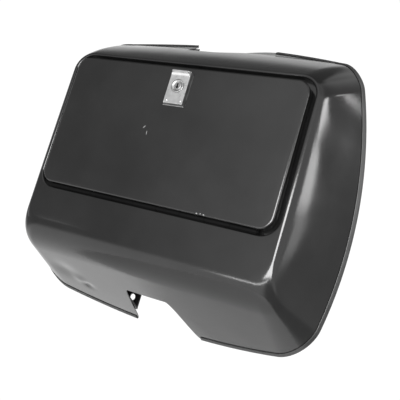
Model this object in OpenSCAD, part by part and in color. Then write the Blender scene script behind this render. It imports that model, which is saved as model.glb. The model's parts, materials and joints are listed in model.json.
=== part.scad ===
// Hard case with a lockable drop-down door for the leg shield of a motor scooter.
// X is to the right, Y points at the leg shield, Z is up. The door faces -Y.
// The origin is midway between the two lower fixing holes, on the rear face of their tabs.
// Everything is drawn about the middle of the closed door's face, then place() moves it.

/* [Door] */
// Width of the door
door_w = 300; // [292:1:304]
// Height of the door
door_h = 158; // [154:1:162]
// Corner radius of the door
door_r = 15; // [12:1:18]
// Depth of the door's folded edge
door_depth = 9; // [9:0.5:10]
// Gap all round the door
door_gap = 5; // [4.8:0.1:5.6]
// How far the door's face stands in front of the body's face
door_proud = 5.5; // [5:0.25:6]
// How far the door swings open
open_angle = 0; // [0:5:100]

/* [Body front] */
// Width across the front fold of the body
face_w = 328; // [324:1:336]
// Height of the front fold above the middle of the door
face_top = 87; // [87:0.5:90]
// Depth of the front fold below the middle of the door
face_bottom = 145; // [141:1:149]
// Corner radius of the front fold at its top
face_r_top = 26; // [24:1:30]
// Corner radius of the front fold at its bottom
face_r_low = 13; // [10:1:20]
// Length of the rounding on the wall behind the fold
fold_wall = 33; // [28:1:36]
// Length of the rounding on the front panel above the lower fold
fold_low = 24; // [20:1:34]

/* [Body rim] */
// Height of the rim's middle above the middle of the door
rim_mid = -31; // [-32:0.5:-29]
// Width of the rear rim before it bulges
rim_w = 356; // [350:1:364]
// Height of the rear rim before it bulges
rim_h = 316; // [310:1:322]
// Corner radius at the top of the rim
rim_r_top = 24; // [20:1:30]
// Corner radius at the bottom of the rim
rim_r_low = 34; // [28:1:40]
// Narrowing of the rim towards the top, as a share of its half width
rim_taper = 0.035; // [0:0.005:0.05]
// Bulge of the rim's sides, as a share of its half width
rim_bulge = 0.135; // [0.1:0.005:0.15]
// Crown of the rim's top edge, as a share of its half height
crown_top = 0.15; // [0.1:0.01:0.18]
// Crown of the rim's bottom edge, as a share of its half height
crown_low = 0.115; // [0.08:0.005:0.14]
// Depth from the door's face to the rim, at the height of the door's middle
rim_depth = 140; // [134:1:146]
// How much less deep the rim is 200 mm to either side
side_rake = 51; // [40:1:56]
// How much less deep the rim is 150 mm above the door's middle
top_rake = 24; // [18:1:28]
// Extra roundness of the rim 150 mm above and below
end_round = 15; // [10:1:18]
// Thickness of the body sheet
sheet = 1.2; // [1:0.1:1.4]

/* [Rim notches] */
// How far the lower fixing holes' middle lies left of the door's middle
notch_shift = 4; // [0:1:6]
// Left end of the lower notch at the rim
low_rim_left = -49; // [-52:1:-46]
// Left end of the lower notch at its front
low_in_left = -34; // [-38:1:-30]
// Right end of the lower notch at its front
low_in_right = 18; // [14:1:22]
// Right end of the lower notch at the rim
low_rim_right = 42; // [38:1:48]
// Share of the bottom wall left in front of the lower notch
low_notch_left = 0.49; // [0.45:0.01:0.6]
// Left end of the upper notch at the rim
top_rim_left = -58; // [-62:1:-54]
// Left end of the upper notch at its front
top_in_left = -46; // [-50:1:-40]
// Right end of the upper notch at its front
top_in_right = -10; // [-15:1:8]
// Right end of the upper notch at the rim
top_rim_right = 58; // [50:1:62]
// Share of the top wall left in front of the upper notch
top_notch_left = 0.58; // [0.55:0.01:0.7]

/* [Fixing tabs] */
// Diameter of the fixing holes
tab_hole = 8; // [6:0.5:9]
// Distance between the lower fixing holes
low_spacing = 98; // [96:1:104]
// Distance between the upper fixing holes
top_spacing = 112; // [110:1:120]
// Depth of the lower tabs' rear faces behind the door's face
tab_y = 120; // [118:0.5:122]
// Depth of the upper tabs' rear faces behind the door's face
top_tab_y = 86; // [82:0.5:88]
// Depth of the lower holes below the middle of the door
tab_z = 182; // [180:0.5:183]
// Height of the upper holes above the middle of the door
top_tab_z = 126; // [122:1:127]
// Thickness of the tabs
tab_t = 2; // [1.5:0.25:2.5]

/* [Lock] */
// Height of the key above the middle of the door
lock_z = 54.5; // [50:0.5:57]
// Width of the lock plate
plate_w = 27; // [24:1:30]
// Height of the lock plate
plate_h = 38; // [34:1:40]
// Thickness of the lock plate
plate_t = 3.6; // [3:0.1:4.5]
// Radius of the lock barrel
barrel_r = 6.5; // [6:0.1:7]
// Radius of the turning plug
plug_r = 4.4; // [4:0.1:5]
// Reach of the lock cam from the key's axis
cam_reach = 24; // [22:0.5:25]
// How far the key is turned
key_angle = 0; // [0:5:90]

/* [Hidden] */

$fn = 48;
slack = 0.05;            // radial clearance of a running fit
paint = [0.09, 0.09, 0.095];
rubber = [0.04, 0.04, 0.04];
zinc = [0.62, 0.64, 0.66];
bright = [0.82, 0.82, 0.8];

// Opening in the front of the body, and the turned-in edge around it
open_w = door_w/2 + door_gap;
open_h = door_h/2 + door_gap;
open_r = door_r + door_gap;
lip_r = 2;
flange_y = door_proud + door_depth;

// The body's front fold
face_mid = (face_top - face_bottom)/2;
face_h = (face_top + face_bottom)/2;
face_gap = 0.8;          // flat strip left between the lip and the fold's rounding

// Points around each ring of the body
arc_n = 8;               // steps round a corner
side_n = 6;              // steps along a side
notch_n = 6;             // steps down each flank of a notch
lip_n = 4;               // steps round the lip of the opening
fold_n = 7;              // steps round the front fold
wall_n = 4;              // steps along the wall

function unit(v) = v/norm(v);
function last(v) = v[len(v) - 1];

// Where the points lie along the top and bottom edges of the rim, from the right to the left
function steps(a, b) = [for (k = [0:notch_n]) a + (b - a)*k/notch_n];
function edge_x(half, n) = concat([(half + n[3])/2], steps(n[3], n[2]), [(n[1] + n[2])/2],
    steps(n[1], n[0]), [(n[0] - half)/2]);
low_notch = [low_rim_left, low_in_left, low_in_right, low_rim_right];
top_notch = [top_rim_left, top_in_left, top_in_right, top_rim_right];
top_half = rim_w/2 - rim_r_top;
low_half = rim_w/2 - rim_r_low;
top_f = [for (x = edge_x(top_half, top_notch)) (1 - x/top_half)/2];
low_x = edge_x(low_half, low_notch);
low_f = [for (k = [len(low_x) - 1:-1:0]) (1 + low_x[k]/low_half)/2];
side_f = [for (k = [1:side_n - 1]) k/side_n];

// A rounded rectangle in the XZ plane, as points in the order right, top, left, bottom
function corner(w, h, r, sx, sz, a0) =
    [for (k = [0:arc_n]) let (a = a0 + 90*k/arc_n) [sx*(w - r) + r*cos(a), sz*(h - r) + r*sin(a)]];
function between(p, q, f) = [for (s = f) p + (q - p)*s];
function outline(w, h, rt, rb) =
    let (tr = corner(w, h, rt, 1, 1, 0),
         tl = corner(w, h, rt, -1, 1, 90),
         bl = corner(w, h, rb, -1, -1, 180),
         br = corner(w, h, rb, 1, -1, 270))
    concat(tr, between(last(tr), tl[0], top_f), tl, between(last(tl), bl[0], side_f),
        bl, between(last(bl), br[0], low_f), br, between(last(br), tr[0], side_f));
function at_y(pts, y, z) = [for (p = pts) [p[0], y, p[1] + z]];

// The rim's outline bulges at its sides and is crowned along its top and bottom
function bulged(p) =
    let (w = rim_w/2, h = rim_h/2, u = p[0]/w, v = p[1]/h)
    [p[0]*(1 - rim_taper*v + rim_bulge*(1 - v*v)),
     p[1]*(1 + (v > 0 ? crown_top : crown_low)*(1 - u*u)) + rim_mid];
function rim_y(p) =
    rim_depth - side_rake*pow(p[0]/200, 2) - top_rake*p[1]/150 - end_round*pow(p[1]/150, 2);
function rim_point(p) = let (q = bulged(p)) [q[0], rim_y(q), q[1]];

// Share of the wall left at a rim point, which is less than 1 inside a notch
function notch_share(x, n, least) =
    let (run = x > n[2] ? min(1, (x - n[2])/(n[3] - n[2])) :
               x < n[1] ? min(1, (n[1] - x)/(n[1] - n[0])) : 0)
    least + (1 - least)*run*run*(3 - 2*run);
function wall_share(p) =
    p[1] > rim_h/2 - 0.001 ? notch_share(p[0], top_notch, top_notch_left) :
    p[1] < 0.001 - rim_h/2 ? notch_share(p[0], low_notch, low_notch_left) : 1;

// The body's outer surface, as rings from the turned-in edge of the opening to the rim
open_ring = outline(open_w, open_h, open_r, open_r);
lip_rings = [for (k = [0:lip_n]) let (a = 90*k/lip_n, d = lip_r*(1 - cos(a)))
    at_y(outline(open_w + d, open_h + d, open_r + d, open_r + d), door_proud + lip_r*(1 - sin(a)), 0)];
start_top = open_h + lip_r + face_gap/2;
start_low = face_bottom - fold_low;
start_w = open_w + lip_r + face_gap;
start_r = open_r + lip_r;
start_ring = at_y(outline(start_w, (start_top + start_low)/2, start_r, start_r),
    door_proud, (start_top - start_low)/2);
fold_ring = at_y(outline(face_w/2, face_h, face_r_top, face_r_low), door_proud, face_mid);
rim_flat = outline(rim_w/2, rim_h/2, rim_r_top, rim_r_low);
rim_full = [for (p = rim_flat) rim_point(p)];
wall_dir = [for (i = [0:len(rim_full) - 1]) unit(rim_full[i] - fold_ring[i])];
rim_ring = [for (i = [0:len(rim_full) - 1])
    fold_ring[i] + (rim_full[i] - fold_ring[i])*wall_share(rim_flat[i])];
fold_end = [for (i = [0:len(rim_full) - 1]) fold_ring[i] + wall_dir[i]*fold_wall];
function curve(a, b, c, s) = a*(1 - s)*(1 - s) + b*2*s*(1 - s) + c*s*s;
body_rings = concat(
    [at_y(open_ring, flange_y, 0)], lip_rings,
    [for (k = [0:fold_n]) [for (i = [0:len(rim_full) - 1])
        curve(start_ring[i], fold_ring[i], fold_end[i], k/fold_n)]],
    [for (k = [1:wall_n]) [for (i = [0:len(rim_full) - 1])
        fold_end[i] + (rim_ring[i] - fold_end[i])*k/wall_n]]);

// Outward normal of a grid of rings at point i of ring j
function normal(g, j, i) =
    let (n = len(g[0]), m = len(g),
         along = g[j][(i + 1)%n] - g[j][(i + n - 1)%n],
         across = g[min(j + 1, m - 1)][i] - g[max(j - 1, 0)][i])
    unit(cross(across, along));
function inner_rings(g, t) =
    [for (j = [len(g) - 1:-1:0]) [for (i = [0:len(g[0]) - 1]) g[j][i] - normal(g, j, i)*t]];

// Two triangles between ring a and ring b, from point i to point k
function band(a, b, i, k, n) = [[a*n + i, b*n + i, b*n + k], [a*n + i, b*n + k, a*n + k]];
module closed_sheet(rings) {
    n = len(rings[0]);
    m = len(rings);
    polyhedron(points = [for (r = rings) each r],
        faces = [for (j = [0:m - 1], i = [0:n - 1]) each band((j + 1)%m, j, i, (i + 1)%n, n)]);
}
module swept(sections, cap) {
    n = len(sections[0]);
    m = len(sections);
    polyhedron(points = [for (s = sections) each s],
        faces = concat(cap, [for (c = cap) [c[2], c[1], c[0]] + [1, 1, 1]*(m - 1)*n],
            [for (j = [0:m - 2], i = [0:n - 1]) each band(j, j + 1, i, (i + 1)%n, n)]));
}

// Moves what is drawn about the door's middle to the part's own frame
module place() translate([notch_shift, -tab_y, tab_z]) children();

// ---- Body ----

module shell() color(paint) place() closed_sheet(concat(body_rings, inner_rings(body_rings, sheet)));

// Rubber channel pushed over the edge of the rim
trim_t = 1.1;
trim_leg = 6;
trim_slack = 0.25;
trim_cut = [[trim_slack, -trim_leg], [trim_t, -trim_leg], [trim_t, trim_t],
    [-sheet - trim_t, trim_t], [-sheet - trim_t, -trim_leg], [-sheet - trim_slack, -trim_leg],
    [-sheet - trim_slack, trim_slack], [trim_slack, trim_slack]];
trim_cap = [[0, 1, 2], [0, 2, 7], [7, 2, 3], [7, 3, 6], [6, 3, 4], [6, 4, 5]];
function trim_section(i) =
    let (m = len(body_rings) - 1, o = normal(body_rings, m, i),
         l = unit(body_rings[m][i] - body_rings[m - 1][i]))
    [for (c = trim_cut) body_rings[m][i] + o*c[0] + l*c[1]];
ring_n = len(rim_full);
top_first = arc_n + 2;                          // right end of the upper notch
top_last = top_first + 2*notch_n + 2;           // left end of the upper notch
low_first = 3*(arc_n + 1) + len(top_f) + len(side_f) + 1;
low_last = low_first + 2*notch_n + 2;
module rim_trim_left() color(rubber) place()
    swept([for (i = [top_last:low_first]) trim_section(i)], trim_cap);
module rim_trim_right() color(rubber) place()
    swept([for (i = [low_last:ring_n + top_first]) trim_section(i%ring_n)], trim_cap);

// Rounded plate in the XZ plane from depth y0 to y1
module plate(w, h, r, y0, y1) translate([0, y1, 0]) rotate([90, 0, 0]) linear_extrude(y1 - y0) {
    square([2*w, 2*(h - r)], center = true);
    square([2*(w - r), 2*h], center = true);
    for (sx = [-1, 1], sz = [-1, 1]) translate([sx*(w - r), sz*(h - r)]) circle(r);
}
// Round bar or hole along Y
module along_y(r, y0, y1, x = 0, z = 0)
    translate([x, y1, z]) rotate([90, 0, 0]) cylinder(r = r, h = y1 - y0);
module along_x(r, x0, x1) translate([x0, 0, 0]) rotate([0, 90, 0]) cylinder(r = r, h = x1 - x0);
// Domed rivet with a head at each end of its grip
head_h = 0.8;
module rivet(r, y0, y1) {
    along_y(r, y0, y1);
    along_y(2*r, y0 - head_h, y0);
    along_y(2*r, y1, y1 + head_h);
}

// Flat frame welded behind the turned-in edge, which carries the seal, the hinge and the strike
frame_t = 1.2;
frame_in_w = open_w - 15;
frame_in_h = open_h - 14;
hinge_band = 24;                                // height of the frame below its hole
frame_in_r = 12;
frame_back = flange_y + frame_t;
hole_top = open_h - 14;
hole_low = open_h - hinge_band;
module frame_hole(grow, y0, y1) translate([0, 0, (hole_top - hole_low)/2])
    plate(frame_in_w + grow, (hole_top + hole_low)/2 + grow, frame_in_r + grow, y0, y1);
rivet_r = 1.5;
strike_x = 9;
strike_z = (open_h + hole_top)/2 + 2.5;
module opening_frame() color(paint) place() difference() {
    plate(open_w + sheet, open_h + sheet, open_r + sheet, flange_y, frame_back);
    frame_hole(0, flange_y - 1, frame_back + 1);
    for (x = hinge_rivet_x) along_y(rivet_r, flange_y - 1, frame_back + 1, x, frame_rivet_z);
    for (x = [-strike_x, strike_x]) along_y(rivet_r, flange_y - 1, frame_back + 1, x, strike_z);
}

seal_w = 6;
seal_clear = 0.3;
module door_seal() color(rubber) place() difference() {
    frame_hole(seal_w, door_depth + seal_clear, flange_y);
    frame_hole(0.5, door_depth, flange_y + 1);
}

// Plate on the back of the frame that the lock cam turns behind
strike_t = 1.2;
strike_back = frame_back + strike_t;
module strike_plate() color(zinc) place() difference() {
    translate([0, 0, (open_h + hole_top)/2]) plate(15, 6.5, 2, frame_back, strike_back);
    for (x = [-strike_x, strike_x]) along_y(rivet_r, frame_back - 1, strike_back + 1, x, strike_z);
}
module strike_rivets() color(zinc) place() for (x = [-strike_x, strike_x])
    translate([x, 0, strike_z]) rivet_flush();
// Rivet with a thin rear head that the cam clears
module rivet_flush() {
    along_y(rivet_r, flange_y, strike_back);
    along_y(2*rivet_r, flange_y - head_h, flange_y);
}

// ---- Hinge ----

knuckle_r = (door_gap - 0.8)/2;
pin_r = 1;
pin_y = 4.5;
pin_z = -(door_h + door_gap)/2;
leaf_t = 1;
knuckle_n = 9;
knuckle_len = 30;
end_play = 0.4;
hinge_half = knuckle_n*knuckle_len/2;
leaf_front = pin_y + knuckle_r + 0.5;
leaf_low = -open_h + slack;                     // the leaf just clears the turned-in edge
leaf_up = 8;
door_leaf_up = 12;
hinge_rivet_x = [for (k = [0:4]) -hinge_half + knuckle_len*(2*k + 0.5)];
door_rivet_x = [for (k = [0:3]) -hinge_half + knuckle_len*(2*k + 1.5)];
frame_rivet_z = -open_h + leaf_up/2 + 1;
door_rivet_z = -door_h/2 + door_leaf_up/2 + 0.5;

// Knuckles with the given first one, joined to a leaf at height z0 by webs
module knuckles(first, z0) for (k = [first:2:knuckle_n - 1])
    let (x0 = -hinge_half + k*knuckle_len + end_play/2) {
        translate([0, pin_y, pin_z]) along_x(knuckle_r, x0, x0 + knuckle_len - end_play);
        translate([x0, pin_y, z0]) cube([knuckle_len - end_play, leaf_front - pin_y + 0.5, leaf_t]);
    }
module pin_bore() translate([0, pin_y, pin_z]) along_x(pin_r + slack, -hinge_half - 1, hinge_half + 1);

module hinge_frame_leaf() color(paint) place() difference() {
    union() {
        knuckles(0, leaf_low);
        translate([-hinge_half, leaf_front, leaf_low]) cube([2*hinge_half, flange_y - leaf_front, leaf_t]);
        translate([-hinge_half, flange_y - leaf_t, leaf_low]) cube([2*hinge_half, leaf_t, leaf_up]);
    }
    pin_bore();
    for (x = hinge_rivet_x) along_y(rivet_r, flange_y - 5, flange_y + 1, x, frame_rivet_z);
}
module hinge_frame_rivets() color(zinc) place() for (x = hinge_rivet_x)
    translate([x, 0, frame_rivet_z]) rivet(rivet_r, flange_y - leaf_t, frame_back);

module hinge_pin() color(paint) place() translate([0, pin_y, pin_z])
    along_x(pin_r, -hinge_half - 1.5, hinge_half + 1.5);

// ---- Door ----

// What swings with the door
module swing() place() translate([0, pin_y, pin_z]) rotate([open_angle, 0, 0])
    translate([0, -pin_y, -pin_z]) children();

skin_t = 1.2;
lock_hole = barrel_r + slack;
plate_z = lock_z - 3.5;
plate_rivet_x = 9;
plate_rivet_z = plate_z - plate_h/2 + 5.5;
module plate_rivet_holes(y0, y1) for (x = [-plate_rivet_x, plate_rivet_x])
    along_y(rivet_r, y0, y1, x, plate_rivet_z);

module door_skin() color(paint) swing() difference() {
    plate(door_w/2, door_h/2, door_r, 0, door_depth);
    plate(door_w/2 - skin_t, door_h/2 - skin_t, door_r - skin_t, skin_t, door_depth + 1);
    along_y(lock_hole, -1, skin_t + 1, 0, lock_z);
    plate_rivet_holes(-1, skin_t + 1);
}

// Stiffening pan inside the door: a back plate with a dished panel pressed forward in it
inner_front = 3.2;
dish_w = door_w/2 - 30;
dish_h = door_h/2 - 45;
dish_z = -14;
module door_inner() color(paint) swing() difference() {
    union() {
        plate(door_w/2 - skin_t, door_h/2 - skin_t, door_r - skin_t, door_depth - skin_t, door_depth);
        translate([0, 0, dish_z]) plate(dish_w, dish_h, 10, inner_front, door_depth);
    }
    translate([0, 0, dish_z]) plate(dish_w - skin_t, dish_h - skin_t, 10 - skin_t,
        inner_front + skin_t, door_depth + 1);
    along_y(lock_hole, door_depth - 3, door_depth + 1, 0, lock_z);
    for (x = door_rivet_x) along_y(rivet_r, door_depth - 3, door_depth + 1, x, door_rivet_z);
}

module hinge_door_leaf() color(paint) swing() difference() {
    union() {
        knuckles(1, -door_h/2 - leaf_t);
        translate([-hinge_half, leaf_front, -door_h/2 - leaf_t])
            cube([2*hinge_half, door_depth + leaf_t - leaf_front, leaf_t]);
        translate([-hinge_half, door_depth, -door_h/2 - leaf_t])
            cube([2*hinge_half, leaf_t, door_leaf_up]);
    }
    pin_bore();
    for (x = door_rivet_x) along_y(rivet_r, door_depth - 1, door_depth + 5, x, door_rivet_z);
}
module hinge_door_rivets() color(zinc) swing() for (x = door_rivet_x)
    translate([x, 0, door_rivet_z]) rivet(rivet_r, door_depth - skin_t, door_depth + leaf_t);

// ---- Lock ----

gasket_t = 0.8;
plate_front = -gasket_t - plate_t;
module lock_gasket() color(rubber) swing() difference() {
    translate([0, 0, plate_z]) plate(plate_w/2 + 0.8, plate_h/2 + 0.8, 2.5, -gasket_t, 0);
    along_y(lock_hole, -gasket_t - 1, 1, 0, lock_z);
    plate_rivet_holes(-gasket_t - 1, 1);
}

// Plate with a finger lip that curls forward along its top edge
lip_out = 4.2;
lip_thick = 2.2;
lip_bore = 5;
module lock_plate() color(bright) swing() difference() {
    union() {
        translate([0, 0, plate_z]) plate(plate_w/2, plate_h/2, 2, plate_front, -gasket_t);
        translate([0, plate_front, plate_z + plate_h/2]) rotate([0, 90, 0])
            translate([0, 0, -plate_w/2]) linear_extrude(plate_w) difference() {
                translate([-lip_thick + 0.2, -lip_out]) square([lip_thick + lip_bore, lip_out + 1]);
                translate([lip_bore, -lip_bore]) circle(lip_bore);
            }
    }
    along_y(lock_hole, plate_front - 1, 1, 0, lock_z);
    plate_rivet_holes(plate_front - 1, 1);
}
module lock_plate_rivets() color(bright) swing() for (x = [-plate_rivet_x, plate_rivet_x])
    translate([x, 0, plate_rivet_z]) {
        along_y(rivet_r, plate_front, skin_t);
        along_y(1.5*rivet_r, plate_front - 0.5, plate_front);
        along_y(1.5*rivet_r, skin_t, skin_t + 0.5);
    }

// Barrel with a bezel in front, held from behind by a washer and a nut
bezel_r = barrel_r + 1;
bezel_t = 0.9;
barrel_back = door_depth + 6;
module lock_barrel() color(bright) swing() difference() {
    union() {
        along_y(barrel_r, plate_front, barrel_back, 0, lock_z);
        along_y(bezel_r, plate_front - bezel_t, plate_front, 0, lock_z);
    }
    along_y(plug_r + slack, plate_front - bezel_t - 1, barrel_back + 1, 0, lock_z);
}
washer_t = 1;
module lock_washer() color(zinc) swing() difference() {
    along_y(10, door_depth, door_depth + washer_t, 0, lock_z);
    along_y(lock_hole, door_depth - 1, door_depth + washer_t + 1, 0, lock_z);
}
nut_t = 3.5;
nut_r = 10.5;
module lock_nut() color(zinc) swing() translate([0, door_depth + washer_t, lock_z]) difference() {
    translate([0, nut_t, 0]) rotate([90, 0, 0]) cylinder(r = nut_r, h = nut_t, $fn = 6);
    along_y(lock_hole, -1, nut_t + 1);
}

// What turns with the key
module turn() swing() translate([0, 0, lock_z]) rotate([0, key_angle, 0]) children();

plug_front = plate_front - bezel_t + 0.3;
cam_front = strike_back + 0.4;
cam_t = 1.8;
tang = 5;
slot_w = 1.6;
slot_h = 5.6;
module lock_plug() color(bright) turn() difference() {
    union() {
        along_y(plug_r, plug_front, barrel_back);
        along_y(plug_r, barrel_back, cam_front);
        translate([-tang/2, cam_front - 0.1, -tang/2]) cube([tang, cam_t + 0.1, tang]);
    }
    translate([-slot_w/2, plug_front - 1, -slot_h/2]) cube([slot_w, 9, slot_h]);
    along_y(1.5, cam_front - 6, cam_front + cam_t + 1);
}
cam_w = 11;
module lock_cam() color(zinc) turn() difference() {
    translate([0, cam_front + cam_t, 0]) rotate([90, 0, 0]) linear_extrude(cam_t) {
        circle(cam_w/2);
        translate([-cam_reach + 2, -cam_w/2]) square([cam_reach - 2, cam_w]);
        translate([-cam_reach + 2, 0]) square([4, cam_w - 4], center = true);
    }
    translate([-tang/2 - slack, cam_front - 1, -tang/2 - slack])
        cube([tang + 2*slack, cam_t + 2, tang + 2*slack]);
}
cam_back = cam_front + cam_t;
module cam_washer() color(zinc) turn() difference() {
    along_y(4.5, cam_back, cam_back + 0.8);
    along_y(1.55, cam_back - 1, cam_back + 2);
}
module cam_screw() color(zinc) turn() {
    translate([0, cam_back + 3.3, 0]) rotate([90, 0, 0]) cylinder(r = 4, h = 2.5, $fn = 6);
    along_y(1.45, cam_front - 5, cam_back + 1);
}

// ---- Fixing tabs ----

ear_w = 22;
ear_up = 12;
foot_len = 22;
weld_sink = 0.1;         // how far a foot is melted into the wall it is welded to

// The straight wall under a tab runs from the front fold to the rim: its rise per depth there
function wall_fold(up) = up ? face_top : -face_bottom;
function wall_rise(x, up) =
    let (b = rim_point([x, (up ? 1 : -1)*rim_h/2]))
    (b[2] - wall_fold(up))/(b[1] - door_proud);
// Distance from a fixing hole to the wall's inner face, at the tab's rear face
function tab_drop(x, y, z, up) =
    let (rise = wall_rise(x, up), inner = sheet/cos(atan(rise)))
    abs(wall_fold(up) + rise*(y - door_proud) - z) - inner + weld_sink;

// An upright ear with the fixing hole, and a foot that lies on the wall in front of it
module tab(x, y, z, up) {
    drop = tab_drop(x, y, z, up);
    rise = abs(wall_rise(x, up));
    thick = tab_t/cos(atan(rise));
    difference() {
        translate([-ear_w/2, 0, 0]) rotate([90, 0, 90]) linear_extrude(ear_w) polygon([
            [0, -drop], [0, ear_up], [-tab_t, ear_up], [-tab_t, rise*tab_t - drop + thick],
            [-foot_len, rise*foot_len - drop + thick], [-foot_len, rise*foot_len - drop]]);
        along_y(tab_hole/2, -tab_t - 1, 1);
    }
}
module lower_tab(side) color(paint) place()
    let (x = side*low_spacing/2 - notch_shift)
    translate([x, tab_y, -tab_z]) tab(x, tab_y, -tab_z, false);
module upper_tab(side) color(paint) place()
    let (x = side*top_spacing/2)
    translate([x, top_tab_y, top_tab_z]) mirror([0, 0, 1]) tab(x, top_tab_y, top_tab_z, true);
module lower_tab_left() lower_tab(-1);
module lower_tab_right() lower_tab(1);
module upper_tab_left() upper_tab(-1);
module upper_tab_right() upper_tab(1);

shell();
rim_trim_left();
rim_trim_right();
opening_frame();
door_seal();
hinge_frame_leaf();
hinge_frame_rivets();
hinge_pin();
strike_plate();
strike_rivets();
lower_tab_left();
lower_tab_right();
upper_tab_left();
upper_tab_right();
door_skin();
door_inner();
hinge_door_leaf();
hinge_door_rivets();
lock_gasket();
lock_plate();
lock_plate_rivets();
lock_barrel();
lock_washer();
lock_nut();
lock_plug();
lock_cam();
cam_washer();
cam_screw();
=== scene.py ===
"""Looks of a black hard case for a scooter's leg shield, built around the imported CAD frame.

Shapes are worked out in millimetres about the middle of the closed door's face (X right,
Y away from the viewer, Z up) and then moved to the frame, whose door_skin gives that place.
"""
import json
import math

import bmesh
import bpy
import numpy as np
from mathutils import Matrix, Vector


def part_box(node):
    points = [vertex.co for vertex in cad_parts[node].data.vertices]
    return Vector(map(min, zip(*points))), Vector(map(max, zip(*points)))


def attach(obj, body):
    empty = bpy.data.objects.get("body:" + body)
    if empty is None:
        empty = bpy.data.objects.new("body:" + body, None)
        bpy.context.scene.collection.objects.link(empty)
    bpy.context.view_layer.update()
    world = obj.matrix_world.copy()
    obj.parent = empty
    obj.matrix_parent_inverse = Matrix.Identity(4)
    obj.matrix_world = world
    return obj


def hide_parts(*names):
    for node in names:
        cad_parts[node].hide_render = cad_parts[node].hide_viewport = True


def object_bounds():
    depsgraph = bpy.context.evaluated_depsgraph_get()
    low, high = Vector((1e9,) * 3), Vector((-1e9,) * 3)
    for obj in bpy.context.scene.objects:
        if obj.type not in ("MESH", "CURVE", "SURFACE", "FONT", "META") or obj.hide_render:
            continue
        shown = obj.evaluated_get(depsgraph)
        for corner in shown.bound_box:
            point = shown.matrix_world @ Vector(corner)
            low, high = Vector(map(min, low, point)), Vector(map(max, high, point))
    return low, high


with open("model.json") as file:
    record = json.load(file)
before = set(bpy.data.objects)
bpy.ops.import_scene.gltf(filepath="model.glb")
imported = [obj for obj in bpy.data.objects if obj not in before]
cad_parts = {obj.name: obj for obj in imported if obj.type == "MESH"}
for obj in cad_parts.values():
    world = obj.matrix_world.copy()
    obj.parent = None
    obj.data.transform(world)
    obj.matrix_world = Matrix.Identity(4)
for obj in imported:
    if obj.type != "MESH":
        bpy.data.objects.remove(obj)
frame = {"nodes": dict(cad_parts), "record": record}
cad_low, cad_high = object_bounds()

MM = 0.001
door_low, door_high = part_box("door_skin")
DOOR = Vector(((door_low.x + door_high.x)/2, door_low.y, (door_low.z + door_high.z)/2))
DOOR_W = (door_high.x - door_low.x)/MM
DOOR_H = (door_high.z - door_low.z)/MM
DOOR_DEPTH = (door_high.y - door_low.y)/MM


def placed(x, y, z):
    """A point given about the door's middle, in the frame's metres."""
    return DOOR + Vector((x, y, z))*MM


# ---------------------------------------------------------------- camera

# Where the camera stands about the door, what it looks along, and how far it is rolled
CAMERA_AT = (394.4, -588.7, -156.7)
LOOK_AZIMUTH = math.radians(29.18)
LOOK_UP = math.radians(7.89)
ROLL = math.radians(16.67)
FOCAL = 59.5


def make_camera():
    data = bpy.data.cameras.new("camera")
    data.lens = FOCAL
    data.sensor_width = 36
    data.clip_start = 0.01
    camera = bpy.data.objects.new("camera", data)
    bpy.context.scene.collection.objects.link(camera)
    ahead = Vector((-math.sin(LOOK_AZIMUTH)*math.cos(LOOK_UP),
                    math.cos(LOOK_AZIMUTH)*math.cos(LOOK_UP), math.sin(LOOK_UP)))
    right = ahead.cross(Vector((0, 0, 1))).normalized()
    level_up = right.cross(ahead)
    up = level_up*math.cos(ROLL) - right*math.sin(ROLL)
    turn = Matrix((ahead.cross(up), up, -ahead)).transposed().to_4x4()
    camera.matrix_world = Matrix.Translation(placed(*CAMERA_AT)) @ turn
    bpy.context.scene.camera = camera


make_camera()

# ---------------------------------------------------------------- mesh helpers


def make_object(name, verts, faces, smooth=True):
    """A mesh object from points about the door in millimetres."""
    mesh = bpy.data.meshes.new(name)
    mesh.from_pydata([placed(*v) for v in verts], [], faces)
    mesh.update()
    work = bmesh.new()
    work.from_mesh(mesh)
    bmesh.ops.recalc_face_normals(work, faces=work.faces)
    work.to_mesh(mesh)
    work.free()
    mesh.polygons.foreach_set("use_smooth", [smooth]*len(mesh.polygons))
    obj = bpy.data.objects.new(name, mesh)
    bpy.context.scene.collection.objects.link(obj)
    return obj


def sharp_edges(obj, degrees):
    """Keeps edges sharper than the given angle crisp under smooth shading."""
    work = bmesh.new()
    work.from_mesh(obj.data)
    limit = math.radians(degrees)
    for edge in work.edges:
        if len(edge.link_faces) == 2 and edge.calc_face_angle() > limit:
            edge.smooth = False
    work.to_mesh(obj.data)
    work.free()


def bevel(obj, width, segments=3, degrees=35):
    mod = obj.modifiers.new("bevel", "BEVEL")
    mod.width = width*MM
    mod.segments = segments
    mod.limit_method = "ANGLE"
    mod.angle_limit = math.radians(degrees)
    mod.harden_normals = True


def stitched(rings, close_ends=False, torus=False):
    """Quads between successive rings of points, as (points, faces)."""
    count = len(rings[0])
    points = [tuple(p) for ring in rings for p in ring]
    pairs = [(j, (j + 1) % len(rings)) for j in range(len(rings) if torus else len(rings) - 1)]
    faces = []
    for a, b in pairs:
        for i in range(count):
            k = (i + 1) % count
            faces.append((a*count + i, a*count + k, b*count + k, b*count + i))
    if close_ends:
        faces.append(tuple(range(count))[::-1])
        faces.append(tuple((len(rings) - 1)*count + i for i in range(count)))
    return points, faces


def unit(v):
    return v/np.linalg.norm(v, axis=-1, keepdims=True)


# ---------------------------------------------------------------- body shape

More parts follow.
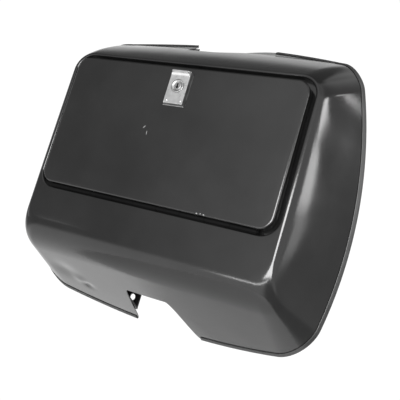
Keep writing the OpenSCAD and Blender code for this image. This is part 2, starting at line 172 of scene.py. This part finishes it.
GAP = 5
PROUD = 5.5
OPEN_W = DOOR_W/2 + GAP
OPEN_H = DOOR_H/2 + GAP
DOOR_R = 15
LIP_R = 2
FLANGE_Y = PROUD + DOOR_DEPTH
FACE_W, FACE_TOP, FACE_BOTTOM, FACE_R_TOP, FACE_R_LOW = 328, 87, 145, 26, 13
FOLD_WALL, FOLD_LOW, FACE_GAP = 33, 24, 0.8
RIM_W, RIM_H, RIM_R_TOP, RIM_R_LOW = 356, 316, 24, 34
RIM_TAPER, RIM_BULGE, CROWN_TOP, CROWN_LOW = 0.035, 0.135, 0.15, 0.115
RIM_DEPTH, SIDE_RAKE, TOP_RAKE, END_ROUND = 140, 51, 24, 15
SHEET = 1.2
# Ends of each notch along the rim edge, from the left: rim, front, front, rim
LOW_NOTCH, LOW_LEFT = (-49, -34, 18, 42), 0.49
TOP_NOTCH, TOP_LEFT = (-58, -46, -10, 58), 0.58

ARC_N, SIDE_N, NOTCH_N, FLOOR_N, EDGE_N = 28, 48, 26, 14, 24
LIP_N, FOLD_N, WALL_N = 8, 32, 30

RIM_MID, FACE_MID = -31, (FACE_TOP - FACE_BOTTOM)/2


def edge_places(half, notch):
    """Places along a rim edge from right to left, dense where a notch lies."""
    far_left, left, right, far_right = notch
    return np.concatenate([np.linspace(half, far_right, EDGE_N + 1)[1:-1],
                           np.linspace(far_right, right, NOTCH_N + 1),
                           np.linspace(right, left, FLOOR_N + 2)[1:-1],
                           np.linspace(left, far_left, NOTCH_N + 1),
                           np.linspace(far_left, -half, EDGE_N + 1)[1:-1]])


top_half = RIM_W/2 - RIM_R_TOP
low_half = RIM_W/2 - RIM_R_LOW
TOP_F = (1 - edge_places(top_half, TOP_NOTCH)/top_half)/2
LOW_F = (1 + edge_places(low_half, LOW_NOTCH)[::-1]/low_half)/2
SIDE_F = np.arange(1, SIDE_N)/SIDE_N


def outline(w, h, rt, rb):
    """Rounded rectangle in the XZ plane: right top corner, top, left, bottom, right."""
    turn = np.radians(np.linspace(0, 90, ARC_N + 1))

    def corner(r, sx, sz, start):
        a = turn + math.radians(start)
        return np.c_[sx*(w - r) + r*np.cos(a), sz*(h - r) + r*np.sin(a)]

    corners = [corner(rt, 1, 1, 0), corner(rt, -1, 1, 90), corner(rb, -1, -1, 180),
               corner(rb, 1, -1, 270)]
    runs = [TOP_F, SIDE_F, LOW_F, SIDE_F]
    parts = []
    for i, run in enumerate(runs):
        p, q = corners[i][-1], corners[(i + 1) % 4][0]
        parts += [corners[i], p + (q - p)*run[:, None]]
    return np.vstack(parts)


def at_y(flat, y, z=0):
    return np.c_[flat[:, 0], np.full(len(flat), float(y)), flat[:, 1] + z]


def rim_points(flat):
    u, v = flat[:, 0]/(RIM_W/2), flat[:, 1]/(RIM_H/2)
    x = flat[:, 0]*(1 - RIM_TAPER*v + RIM_BULGE*(1 - v*v))
    crown = np.where(v > 0, CROWN_TOP, CROWN_LOW)
    z = flat[:, 1]*(1 + crown*(1 - u*u)) + RIM_MID
    y = RIM_DEPTH - SIDE_RAKE*(x/200)**2 - TOP_RAKE*z/150 - END_ROUND*(z/150)**2
    return np.c_[x, y, z]


def share(x, notch, least):
    far_left, left, right, far_right = notch
    run = np.clip(np.maximum((x - right)/(far_right - right), (left - x)/(left - far_left)), 0, 1)
    return least + (1 - least)*run*run*(3 - 2*run)


def wall_share(flat):
    """Share of the wall left at each rim point, under 1 inside a notch."""
    x, z = flat[:, 0], flat[:, 1]
    top, low = share(x, TOP_NOTCH, TOP_LEFT), share(x, LOW_NOTCH, LOW_LEFT)
    return np.where(z > RIM_H/2 - 0.001, top, np.where(z < 0.001 - RIM_H/2, low, 1.0))[:, None]


def body_rings():
    open_r = DOOR_R + GAP
    rings = [at_y(outline(OPEN_W, OPEN_H, open_r, open_r), FLANGE_Y - k*2) for k in range(4)]
    for a in np.radians(np.linspace(0, 90, LIP_N + 1)):
        d = LIP_R*(1 - math.cos(a))
        flat = outline(OPEN_W + d, OPEN_H + d, open_r + d, open_r + d)
        rings.append(at_y(flat, PROUD + LIP_R*(1 - math.sin(a))))
    top = OPEN_H + LIP_R + FACE_GAP/2
    low = FACE_BOTTOM - FOLD_LOW
    start_flat = outline(OPEN_W + LIP_R + FACE_GAP, (top + low)/2, open_r + LIP_R, open_r + LIP_R)
    start = at_y(start_flat, PROUD, (top - low)/2)
    fold = at_y(outline(FACE_W/2, (FACE_TOP + FACE_BOTTOM)/2, FACE_R_TOP, FACE_R_LOW), PROUD, FACE_MID)
    flat = outline(RIM_W/2, RIM_H/2, RIM_R_TOP, RIM_R_LOW)
    rim = rim_points(flat)
    end = fold + unit(rim - fold)*FOLD_WALL
    cut = fold + (rim - fold)*wall_share(flat)
    lip_end = rings[-1]
    rings += [lip_end + (start - lip_end)*k/6 for k in range(1, 6)]
    for s in np.linspace(0, 1, FOLD_N + 1):
        rings.append(start*(1 - s)**2 + fold*2*s*(1 - s) + end*s*s)
    rings += [end + (cut - end)*k/WALL_N for k in range(1, WALL_N + 1)]
    return np.array(rings)


def ring_normals(grid):
    along = np.roll(grid, -1, axis=1) - np.roll(grid, 1, axis=1)
    across = np.empty_like(grid)
    across[1:-1] = grid[2:] - grid[:-2]
    across[0] = grid[1] - grid[0]
    across[-1] = grid[-1] - grid[-2]
    return unit(np.cross(across, along))


# Height of the top wall's pillow, and how far behind the front it reaches
TOP_PILLOW, PILLOW_DEPTH = 2.4, 75
# Dents as (centre, radius, depth): a pressed dimple and a crease low on the left, soft waves
DENTS = (((-128, 70, -172), 16, 1.5), ((-104, 92, -184), 6, 1.6), ((-112, 84, -178), 8, -1.0),
         ((60, 80, -178), 60, 0.5), ((-60, 60, -170), 45, 0.35))


def dented(grid, normals):
    """The body's rings with the dents pressed in and the top wall slightly pillowed."""
    push = np.zeros(grid.shape[:2])
    for centre, radius, depth in DENTS:
        away = np.linalg.norm(grid - np.array(centre, float), axis=2)
        push += depth*np.exp(-(away/radius)**2)
    fade = np.clip(np.arange(len(grid)) - (LIP_N + 9), 0, 6)/6
    back = np.clip((grid[..., 1] - PROUD)/PILLOW_DEPTH, 0, 1)
    upward = np.clip((normals[..., 2] - 0.6)/0.2, 0, 1)
    push -= TOP_PILLOW*4*back*(1 - back)*upward
    return grid - normals*(push*fade[:, None])[..., None]


shell_grid = body_rings()
shell_grid = dented(shell_grid, ring_normals(shell_grid))
shell_normals = ring_normals(shell_grid)


def make_shell():
    inner = (shell_grid - shell_normals*SHEET)[::-1]
    points, faces = stitched(list(shell_grid) + list(inner), torus=True)
    obj = make_object("body_shell", points, faces)
    sharp_edges(obj, 40)
    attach(obj, "body")
    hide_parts("shell")
    return obj


# Rubber channel over the rim: its thickness, leg length, gap to the sheet and shoulder radius
TRIM_T, TRIM_LEG, TRIM_SLACK, TRIM_ROUND = 1.08, 6, 0.05, 0.9


def trim_section():
    """The channel's section as (outwards, past the rim) pairs."""
    out, inn, r = TRIM_T, -SHEET - TRIM_T, TRIM_ROUND
    arc = np.radians(np.linspace(0, 90, 6))
    outer = [(out - r + r*math.cos(a), TRIM_T - r + r*math.sin(a)) for a in arc]
    inner = [(inn + r - r*math.sin(a), TRIM_T - r + r*math.cos(a)) for a in arc]
    foot, face, back = -TRIM_LEG, TRIM_SLACK, -SHEET - TRIM_SLACK
    outer_leg = [(face, foot + 0.3), (face + 0.4, foot), (out - 0.3, foot + 0.1), (out, foot + 0.6)]
    inner_leg = [(inn, foot + 0.6), (inn + 0.3, foot + 0.1), (back - 0.4, foot), (back, foot + 0.3)]
    return outer_leg + outer + inner + inner_leg + [(back, TRIM_SLACK), (face, TRIM_SLACK)]


def make_trim(side, indices):
    along = unit(shell_grid[-1] - shell_grid[-2])
    section = trim_section()
    count = shell_grid.shape[1]
    rings = []
    for i in indices:
        i %= count
        rings.append([shell_grid[-1, i] + shell_normals[-1, i]*o + along[i]*p for o, p in section])
    points, faces = stitched(rings, close_ends=True)
    obj = make_object("rim_channel_" + side, points, faces)
    sharp_edges(obj, 50)
    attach(obj, "body")
    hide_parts("rim_trim_" + side)
    return obj


def make_trims():
    top_first = ARC_N + 1 + EDGE_N - 1
    top_last = top_first + 2*NOTCH_N + FLOOR_N + 1
    low_first = 3*(ARC_N + 1) + len(TOP_F) + len(SIDE_F) + EDGE_N - 1
    low_last = low_first + 2*NOTCH_N + FLOOR_N + 1
    count = shell_grid.shape[1]
    return [make_trim("left", range(top_last, low_first + 1)),
            make_trim("right", range(low_last, count + top_first + 1))]


# ---------------------------------------------------------------- door

DOOR_EDGE, DOOR_CROWN, SKIN = 2.1, 1.1, 1.2


def make_door():
    """Folded pan: slightly crowned face, rounded fold, straight skirt."""
    def ring(inset, y, crown=0.0):
        r = max(DOOR_R - inset, 1.0)
        flat = outline(DOOR_W/2 - inset, DOOR_H/2 - inset, r, r)
        level = 1 - (flat[:, 0]/(DOOR_W/2))**2
        level *= 1 - (flat[:, 1]/(DOOR_H/2))**2
        return np.c_[flat[:, 0], y - crown*level, flat[:, 1]]

    outer = [ring(0, DOOR_DEPTH - 0.2), ring(0, DOOR_DEPTH/2)]
    for a in np.radians(np.linspace(0, 90, 8)):
        outer.append(ring(DOOR_EDGE*(1 - math.cos(a)), DOOR_EDGE*(1 - math.sin(a)), DOOR_CROWN))
    shrink = np.linspace(0, 1, 26)[1:-1]
    edge = outer[-1]
    for s in shrink:
        flat = edge*np.array([1 - s, 0, 1 - s])
        level = (1 - (flat[:, 0]/(DOOR_W/2))**2)*(1 - (flat[:, 2]/(DOOR_H/2))**2)
        outer.append(np.c_[flat[:, 0], -DOOR_CROWN*level, flat[:, 2]])
    inner = [ring(SKIN, DOOR_DEPTH - 0.2), ring(SKIN, SKIN + 0.8)]
    inner.append(ring(SKIN + 1, SKIN + 0.1))
    points, faces = stitched(inner[::-1] + outer, close_ends=True)
    obj = make_object("door_panel", points, faces)
    lock = middle("lock_barrel")
    hole, before, behind = BARREL_R + BORE_SLACK, -4, DOOR_DEPTH + 2
    bore = turned("bore", [(AXIS_R, before), (hole, before), (hole, behind), (AXIS_R, behind)],
                  lock.x, lock.z)
    cut(obj, bore)
    sharp_edges(obj, 50)
    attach(obj, "door")
    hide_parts("door_skin")
    return obj


# ---------------------------------------------------------------- lock

def middle(node):
    """Middle of a CAD node's box about the door, in millimetres."""
    low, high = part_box(node)
    return ((low + high)/2 - DOOR)/MM


def turned(name, profile, x, z, segments=96):
    """A solid turned about the Y axis through x, z from (radius, y) pairs that close on themselves."""
    turn = np.linspace(0, 2*math.pi, segments, endpoint=False)
    rings = [[(x + r*math.cos(a), y, z + r*math.sin(a)) for r, y in profile] for a in turn]
    points, faces = stitched(rings, torus=True)
    return make_object(name, points, faces)


def slab(name, half, y0, y1, x=0, z=0, angle=0):
    """A plain block used to cut slots."""
    c, s = math.cos(angle), math.sin(angle)
    corners = [(sx*half[0], sz*half[1]) for sx, sz in ((-1, -1), (1, -1), (1, 1), (-1, 1))]
    turned_to = [(x + a*c - b*s, z + a*s + b*c) for a, b in corners]
    points = [(a, y0, b) for a, b in turned_to] + [(a, y1, b) for a, b in turned_to]
    faces = [(0, 1, 2, 3), (7, 6, 5, 4), (0, 4, 5, 1), (1, 5, 6, 2), (2, 6, 7, 3), (3, 7, 4, 0)]
    return make_object(name, points, faces, smooth=False)


def settle(obj):
    """Replaces a piece's mesh by what its modifiers make of it."""
    bpy.context.view_layer.update()
    done = obj.evaluated_get(bpy.context.evaluated_depsgraph_get())
    mesh = bpy.data.meshes.new_from_object(done)
    obj.modifiers.clear()
    obj.data = mesh
    return obj


def cut(obj, *cutters):
    for cutter in cutters:
        mod = obj.modifiers.new("cut", "BOOLEAN")
        mod.operation = "DIFFERENCE"
        mod.solver = "EXACT"
        mod.object = cutter
    settle(obj)
    for cutter in cutters:
        bpy.data.objects.remove(cutter)
    return obj


def crisp_shade(obj, degrees):
    """Smooth shading that stays crisp at edges sharper than the given angle."""
    obj.data.polygons.foreach_set("use_smooth", [True]*len(obj.data.polygons))
    sharp_edges(obj, degrees)


# The plate's back, the top of its thin foot, and its front, as depths before the door
BACK_Y, BASE_Y, PLATE_FRONT = -0.8, -1.6, -4.4
LIP_OUT, LIP_THICK, LIP_BORE, LIP_CHAMFER = 4.2, 2.2, 5, 2.4
PLATE_BEVEL = 0.45
BARREL_R, BEZEL_R, PLUG_R, PIN_R = 6.5, 7.5, 4.4, 1.3
BORE_SLACK = 0.05
# How far a replacement stays inside the node it replaces, and the radius left at a turning axis
INSIDE, AXIS_R = 0.02, 0.01


def make_lock_plate():
    """Cast plate whose top edge curls forward into a finger lip, bored for the barrel."""
    low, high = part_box("lock_plate")
    half = (high.x - low.x)/MM/2 - INSIDE
    z_low = (low.z - DOOR.z)/MM + INSIDE
    z_top = (high.z - DOOR.z)/MM - INSIDE
    lip_z = z_top - LIP_THICK + 0.2
    hook = [(PLATE_FRONT - LIP_BORE + LIP_BORE*math.cos(a), lip_z - LIP_BORE + LIP_BORE*math.sin(a))
            for a in np.radians(np.linspace(0, 57, 12))]
    front_y = PLATE_FRONT - LIP_OUT + INSIDE
    outline_yz = [(BACK_Y, z_low), (BASE_Y, z_low), (BASE_Y, z_low + 0.5),
                  (PLATE_FRONT + 0.5, z_low + 1.9), (PLATE_FRONT, z_low + 2.4)] + hook + [
        (front_y, lip_z - 0.5), (front_y, z_top - 0.7), (front_y + 0.7, z_top),
        (-2.2, z_top - 0.1), (BASE_Y, z_top - 1.2), (BACK_Y, z_top - 1.2)]

    def inset(y):
        draft = 0.4 + 0.9*(BASE_Y - y)/(BASE_Y - PLATE_FRONT) if y < BASE_Y else 0
        return min(draft, 1.3) + LIP_CHAMFER*max(0, PLATE_FRONT - y)/LIP_OUT

    count = len(outline_yz)
    points = [(side*(half - inset(y)), y, z) for side in (-1, 1) for y, z in outline_yz]
    faces = [tuple(range(count)), tuple(range(2*count - 1, count - 1, -1))]
    faces += [(i, count + i, count + (i + 1) % count, (i + 1) % count) for i in range(count)]
    obj = make_object("lock_plate_cast", points, faces)
    lock = middle("lock_barrel")
    hole, before, behind = BARREL_R - 0.1, -12, 4
    bore = turned("bore", [(AXIS_R, before), (hole, before), (hole, behind), (AXIS_R, behind)],
                  lock.x, lock.z)
    near, far, deep = BEZEL_R - 0.3, BEZEL_R + 0.7, PLATE_FRONT + 0.9
    groove = turned("groove", [(near, before), (far, before), (far, deep), (near, deep)],
                    lock.x, lock.z)
    cut(obj, bore, groove)
    bevel(obj, PLATE_BEVEL, 3, 30)
    settle(obj)
    crisp_shade(obj, 40)
    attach(obj, "door")
    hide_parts("lock_plate")
    return obj


def make_barrel():
    """Barrel with a round bezel whose face is dished towards the plug."""
    lock = middle("lock_barrel")
    low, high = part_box("lock_barrel")
    front, back = (low.y - DOOR.y)/MM + 0.01, (high.y - DOOR.y)/MM - 0.01
    inside = PLUG_R + BORE_SLACK
    profile = [(inside, back), (BARREL_R, back), (BARREL_R, PLATE_FRONT + INSIDE),
               (BEZEL_R - INSIDE, PLATE_FRONT + INSIDE), (BEZEL_R - INSIDE, front + 0.45),
               (BEZEL_R - 0.12, front + 0.2), (BEZEL_R - 0.35, front + 0.04), (BEZEL_R - 0.6, front),
               (inside + 1.9, front), (inside + 1.7, front + 0.1), (inside + 1.1, front + 0.85),
               (inside + 0.9, front + 0.95), (inside + 0.2, front + 0.95), (inside, front + 1.1)]
    obj = turned("lock_barrel_turned", profile, lock.x, lock.z)
    sharp_edges(obj, 40)
    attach(obj, "door")
    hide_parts("lock_barrel")
    return obj


def make_pins():
    """Low domed pins that hold the plate."""
    low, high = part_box("lock_plate_rivets")
    z, pins = middle("lock_plate_rivets").z, []
    r = (high.z - low.z)/MM/2
    for side, x in (("left", (low.x - DOOR.x)/MM + r), ("right", (high.x - DOOR.x)/MM - r)):
        profile = [(AXIS_R, BACK_Y), (PIN_R, BACK_Y), (PIN_R, PLATE_FRONT - 0.02),
                   (PIN_R - 0.2, PLATE_FRONT - 0.14), (PIN_R - 0.6, PLATE_FRONT - 0.24),
                   (AXIS_R, PLATE_FRONT - 0.28)]
        pin = turned("lock_pin_" + side, profile, x, z, 48)
        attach(pin, "door")
        pins.append(pin)
    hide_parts("lock_plate_rivets")
    return pins


def make_plug():
    """Plug with a rounded face, a key slot, and the square tang that turns the cam."""
    low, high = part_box("lock_plug")
    lock = middle("lock_barrel")
    front, back = (low.y - DOOR.y)/MM + INSIDE, (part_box("lock_barrel")[1].y - DOOR.y)/MM
    end = (high.y - DOOR.y)/MM
    profile = [(AXIS_R, back), (PLUG_R, back), (PLUG_R, front + 0.5), (PLUG_R - 0.15, front + 0.22),
               (PLUG_R - 0.5, front + 0.08), (PLUG_R - 0.9, front + 0.06), (PLUG_R - 1.0, front + 0.3),
               (PLUG_R - 1.2, front + 0.3), (PLUG_R - 1.3, front + 0.06), (AXIS_R, front)]
    obj = turned("lock_plug_turned", profile, lock.x, lock.z)
    slot = slab("slot", (1.0, 2.9), front - 2, front + 8, lock.x, lock.z)
    notch = slab("notch", (1.7, 0.8), front - 2, front + 8, lock.x, lock.z - 1.2)
    cut(obj, slot, notch)
    tang = slab("lock_tang", (2.5, 2.5), back - 0.5, end - INSIDE, lock.x, lock.z)
    bevel(tang, 0.3)
    for piece in (obj, tang):
        crisp_shade(settle(piece), 40)
        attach(piece, "lock")
    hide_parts("lock_plug")
    return [obj, tang]


# ---------------------------------------------------------------- materials


def new_material(name):
    mat = bpy.data.materials.new(name)
    mat.use_nodes = True
    nodes = mat.node_tree.nodes
    shader = nodes["Principled BSDF"]
    return mat, nodes, mat.node_tree.links, shader


def noise(nodes, links, where, scale, detail=3, rough=0.5):
    node = nodes.new("ShaderNodeTexNoise")
    node.inputs["Scale"].default_value = scale
    node.inputs["Detail"].default_value = detail
    node.inputs["Roughness"].default_value = rough
    links.new(where, node.inputs["Vector"])
    return node.outputs["Fac"]


def ramp(nodes, links, value, stops):
    node = nodes.new("ShaderNodeValToRGB")
    points = node.color_ramp.elements
    while len(points) < len(stops):
        points.new(0.5)
    for point, (place, shade) in zip(points, stops):
        point.position = place
        point.color = (*shade, 1) if isinstance(shade, tuple) else (shade, shade, shade, 1)
    links.new(value, node.inputs["Fac"])
    return node.outputs["Color"]


def mapped(nodes, links, value, low, high, from_low=0.3, from_high=0.7):
    node = nodes.new("ShaderNodeMapRange")
    node.inputs["From Min"].default_value = from_low
    node.inputs["From Max"].default_value = from_high
    node.inputs["To Min"].default_value = low
    node.inputs["To Max"].default_value = high
    links.new(value, node.inputs["Value"])
    return node.outputs["Result"]


def bumped(nodes, links, height, strength, distance, base=None):
    node = nodes.new("ShaderNodeBump")
    node.inputs["Strength"].default_value = strength
    node.inputs["Distance"].default_value = distance
    links.new(height, node.inputs["Height"])
    if base is not None:
        links.new(base, node.inputs["Normal"])
    return node.outputs["Normal"]


def place_of(nodes):
    return nodes.new("ShaderNodeTexCoord").outputs["Object"]


def chipped(nodes, links, where, x, z, length, width, degrees):
    """Share of bare surface in a small long chip at x, z about the door's middle."""
    place = nodes.new("ShaderNodeMapping")
    place.vector_type = "TEXTURE"
    place.inputs["Location"].default_value = placed(x, 0, z)
    place.inputs["Rotation"].default_value = (0, -math.radians(degrees), 0)
    place.inputs["Scale"].default_value = (length/2*MM, 3*MM, width/2*MM)
    links.new(where, place.inputs["Vector"])
    reach = nodes.new("ShaderNodeVectorMath")
    reach.operation = "LENGTH"
    links.new(place.outputs["Vector"], reach.inputs[0])
    return mapped(nodes, links, reach.outputs["Value"], 1, 0, 0.55, 1)


def blended(nodes, links, share_of_b, a, b, kind):
    node = nodes.new("ShaderNodeMix")
    node.data_type = kind
    first = 6 if kind == "RGBA" else 2
    links.new(share_of_b, node.inputs[0])
    links.new(a, node.inputs[first])
    node.inputs[first + 1].default_value = (b, b, b, 1) if kind == "RGBA" else b
    return node.outputs[2 if kind == "RGBA" else 0]


# Chips in the door's paint: x, z, length, width in mm, and turn in degrees
DOOR_CHIPS = ((-28.4, 3.8, 5.6, 1.2, 50), (-23.1, -2.5, 6.2, 1.1, 97), (66, -77.6, 2.4, 1.5, 10),
              (70.5, -77.2, 1.8, 1.2, 60), (74.5, -77.6, 2.6, 1.4, -20))


def paint(name, tone, gloss_low, gloss_high, wave, ior=1.5, chips=()):
    """Satin black stove enamel: orange peel, slow sheet waves, rubbed patches, and chips in it."""
    mat, nodes, links, shader = new_material(name)
    where = place_of(nodes)
    patches = noise(nodes, links, where, 9, 4, 0.6)
    colour = ramp(nodes, links, patches, [(0.3, tone*0.7), (0.7, tone*1.4)])
    smear = noise(nodes, links, where, 28, 5, 0.65)
    gloss = mapped(nodes, links, smear, gloss_low, gloss_high)
    for chip in chips:
        bare = chipped(nodes, links, where, *chip)
        colour = blended(nodes, links, bare, colour, 0.16, "RGBA")
        gloss = blended(nodes, links, bare, gloss, 0.5, "FLOAT")
    links.new(colour, shader.inputs["Base Color"])
    links.new(gloss, shader.inputs["Roughness"])
    peel = bumped(nodes, links, noise(nodes, links, where, 420, 2), 0.06, 0.0004)
    slow = bumped(nodes, links, noise(nodes, links, where, 14, 2), wave, 0.004, peel)
    links.new(slow, shader.inputs["Normal"])
    shader.inputs["IOR"].default_value = ior
    return mat


def rubber():
    mat, nodes, links, shader = new_material("edge_rubber")
    where = place_of(nodes)
    bloom = noise(nodes, links, where, 60, 4)
    links.new(ramp(nodes, links, bloom, [(0.3, 0.012), (0.75, 0.03)]), shader.inputs["Base Color"])
    links.new(mapped(nodes, links, bloom, 0.38, 0.6), shader.inputs["Roughness"])
    links.new(bumped(nodes, links, noise(nodes, links, where, 900, 2), 0.25, 0.0003),
              shader.inputs["Normal"])
    return mat


def metal(name, tones, gloss_low, gloss_high, grain_scale, grain):
    """Plated metal: mottled plating, fine grain in the bump, worn bright and dull patches."""
    mat, nodes, links, shader = new_material(name)
    where = place_of(nodes)
    spangle = noise(nodes, links, where, 130, 4, 0.6)
    links.new(ramp(nodes, links, spangle, [(0.3, tones[0]), (0.7, tones[1])]),
              shader.inputs["Base Color"])
    links.new(mapped(nodes, links, noise(nodes, links, where, 300, 4), gloss_low, gloss_high),
              shader.inputs["Roughness"])
    links.new(bumped(nodes, links, noise(nodes, links, where, grain_scale, 3), grain, 0.0002),
              shader.inputs["Normal"])
    shader.inputs["Metallic"].default_value = 1
    return mat


PAINT = paint("painted_steel", 0.005, 0.12, 0.18, 0.07)
DOOR_PAINT = paint("door_paint", 0.006, 0.14, 0.2, 0.05, chips=DOOR_CHIPS)
# Near-black matte paint for the hinge and strike rivets: the hinge's black paint is its own, but its
# extra-dark tone and dim gloss, and the black on the zinc strike rivets, are painted shade in the door
# gap
HINGE_PAINT_AND_GAP_SHADE = paint("hinge_paint_and_gap_shade", 0.002, 0.6, 0.75, 0.05, ior=1.12)
RUBBER = rubber()
ZINC = metal("zinc_steel", (0.42, 0.6), 0.3, 0.5, 700, 0.3)
CHROME = metal("polished_lock", (0.55, 0.68), 0.26, 0.36, 900, 0.06)
LOCK_METAL = metal("lock_metal", (0.26, 0.4), 0.38, 0.5, 800, 0.08)
# Painted shade: a dark, dull metal that the lock plate's sides wear in place of the shadow on them
PLATE_SIDE_SHADE = metal("plate_side_painted_shade", (0.05, 0.1), 0.4, 0.6, 800, 0.3)
MATERIALS = {"painted_steel": PAINT, "door_paint": DOOR_PAINT, "edge_rubber": RUBBER,
             "zinc_steel": ZINC, "polished_lock": CHROME, "lock_metal": LOCK_METAL}


def paint_plate_side_shade(obj):
    """Painted shade: the cast plate's sides take a dark, dull metal that stands for the shadow on
    them; its face and lip are polished.
    """
    obj.data.materials.append(PLATE_SIDE_SHADE)
    work = bmesh.new()
    work.from_mesh(obj.data)
    everything = work.verts[:] + work.edges[:] + work.faces[:]
    bmesh.ops.bisect_plane(work, geom=everything, plane_co=placed(0, PLATE_FRONT + 0.5, 0),
                           plane_no=(0, 1, 0))
    work.to_mesh(obj.data)
    work.free()
    # Side faces between the plate's front and its foot take the dark metal as painted shade
    for face in obj.data.polygons:
        depth = (face.center.y - DOOR.y)/MM
        if PLATE_FRONT + 0.5 < depth < BASE_Y + 0.3 and abs(face.normal.y) < 0.8:
            face.material_index = 1


def wear(obj, slot):
    obj.data.materials.clear()
    obj.data.materials.append(MATERIALS[slot])


def finish_cad_nodes():
    for part in frame["record"]["subparts"]:
        wear(frame["nodes"][part["node"]], part["material_slot"])
    # Painted shade in the door gap: the hinge leaves, pin and zinc strike rivets take the near-black
    # hinge paint
    for node in ("hinge_frame_leaf", "hinge_door_leaf", "hinge_pin", "strike_rivets"):
        frame["nodes"][node].data.materials[0] = HINGE_PAINT_AND_GAP_SHADE


finish_cad_nodes()
wear(make_shell(), "painted_steel")
for trim in make_trims():
    wear(trim, "edge_rubber")
wear(make_door(), "door_paint")
plate = make_lock_plate()
wear(plate, "polished_lock")
# Painted shade on the lock plate's sides
paint_plate_side_shade(plate)
for piece in make_plug():
    wear(piece, "lock_metal")
for piece in make_pins():
    wear(piece, "polished_lock")
wear(make_barrel(), "lock_metal")

# ---------------------------------------------------------------- stage and light

# A small round floor, well below the case, in metres
FLOOR_DROP, FLOOR_R = 0.30, 0.36


def make_floor():
    mesh = bpy.data.meshes.new("floor")
    work = bmesh.new()
    bmesh.ops.create_circle(work, cap_ends=True, segments=96, radius=FLOOR_R)
    work.to_mesh(mesh)
    work.free()
    floor = bpy.data.objects.new("floor", mesh)
    floor.location = (0, 0, cad_low.z - FLOOR_DROP)
    bpy.context.scene.collection.objects.link(floor)
    mat, nodes, links, shader = new_material("floor_paper")
    grain = noise(nodes, links, place_of(nodes), 3, 3)
    links.new(ramp(nodes, links, grain, [(0.3, 0.9), (0.7, 0.94)]), shader.inputs["Base Color"])
    shader.inputs["Roughness"].default_value = 0.9
    mesh.materials.append(mat)


def make_world():
    """A pale studio as brightness by direction: white paper behind, dimmer in front and above."""
    world = bpy.data.worlds.new("studio")
    world.use_nodes = True
    nodes, links = world.node_tree.nodes, world.node_tree.links
    split = nodes.new("ShaderNodeSeparateXYZ")
    links.new(nodes.new("ShaderNodeTexCoord").outputs["Generated"], split.inputs["Vector"])
    x, y, z = (split.outputs[axis] for axis in "XYZ")

    def graded(value, from_low, from_high, low, high):
        out = mapped(nodes, links, value, low, high, from_low, from_high)
        out.node.interpolation_type = "SMOOTHSTEP"
        return out

    def mixed(share, a, b):
        node = nodes.new("ShaderNodeMix")
        for value, socket in ((share, 0), (a, 2), (b, 3)):
            links.new(value, node.inputs[socket])
        return node.outputs[0]

    def times(a, b):
        node = nodes.new("ShaderNodeMath")
        node.operation = "MULTIPLY"
        links.new(a, node.inputs[0])
        links.new(b, node.inputs[1])
        return node.outputs["Value"]

    front = graded(x, -0.64, -0.3, 0.44, 1.2)
    behind = graded(x, 0.15, 0.6, 1.06, 0.5)
    level = mixed(graded(y, -0.1, 0.3, 0, 1), front, behind)
    below = graded(x, 0, 0.42, 1.5, 0.3)
    lower = mixed(graded(z, -0.5, -0.3, 1, 0), level, below)
    high_up = graded(z, 0.44, 0.54, 1, 0.72)
    # The dark ceiling starts lower on the left than on the right
    tilted = nodes.new("ShaderNodeMath")
    tilted.operation = "MULTIPLY_ADD"
    tilted.inputs[1].default_value = -0.35
    links.new(x, tilted.inputs[0])
    links.new(z, tilted.inputs[2])
    ceiling = graded(tilted.outputs["Value"], 0.76, 0.85, 1, 0.2)
    total = times(times(lower, high_up), ceiling)
    links.new(total, nodes["Background"].inputs["Strength"])
    nodes["Background"].inputs["Color"].default_value = (1, 1, 1, 1)
    bpy.context.scene.world = world


def lamp_at(name, start, toward, distance, size, radiance, shape="RECTANGLE", upright=(0, 0, 1)):
    """An area lamp seen from a point of the case in a given direction, with a given brightness."""
    data = bpy.data.lights.new(name, "AREA")
    data.shape = shape
    data.size = size[0]
    area = math.pi*size[0]**2/4
    if shape == "RECTANGLE":
        data.size_y = size[1]
        area = size[0]*size[1]
    data.energy = radiance*math.pi*area
    lamp = bpy.data.objects.new(name, data)
    bpy.context.scene.collection.objects.link(lamp)
    back = Vector(toward).normalized()
    across = Vector(upright).cross(back).normalized()
    turn = Matrix((across, back.cross(across), back)).transposed().to_4x4()
    lamp.matrix_world = Matrix.Translation(placed(*start) + back*distance) @ turn
    lamp.visible_camera = False


make_floor()
make_world()
bpy.context.scene.view_settings.view_transform = "Standard"
# Each lamp: a start in mm about the door, a direction, metres away, size in metres, radiance
lamp_at("side_low", (167, 16, -10), (0.955, 0.17, 0.215), 1.33, (0.36, 0.24), 9)
lamp_at("side_tail", (169, 20, -78), (0.965, 0.24, 0.10), 1.33, (0.30, 0.16), 2.5)
lamp_at("side_high", (167, 16, 50), (0.869, 0.29, 0.35), 1.33, (0.12, 0.38), 12,
        upright=(-0.47, 0.82, 0.32))
lamp_at("corner_lamp", (176, 55, 85), (0.66, 0.56, 0.5), 1.4, (0.08, 0.08), 7, "DISK")
lamp_at("low_front", (95, 9, -131), (-0.02, -0.87, -0.44), 0.75, (0.66, 0.05), 12,
        upright=(-0.2, -0.2, 1))
lamp_at("right_front", (159, 6, -60), (0.32, -0.94, -0.06), 0.8, (0.70, 0.5), 18)
lamp_at("left_edge", (-150, 3, 0), (-0.93, -0.35, 0.05), 1.2, (0.2, 0.8), 1.4)
lamp_at("round_lamp", (-113, 6, -113), (-0.65, -0.76, -0.02), 1.3, (0.075, 0.075), 2.2, "DISK")
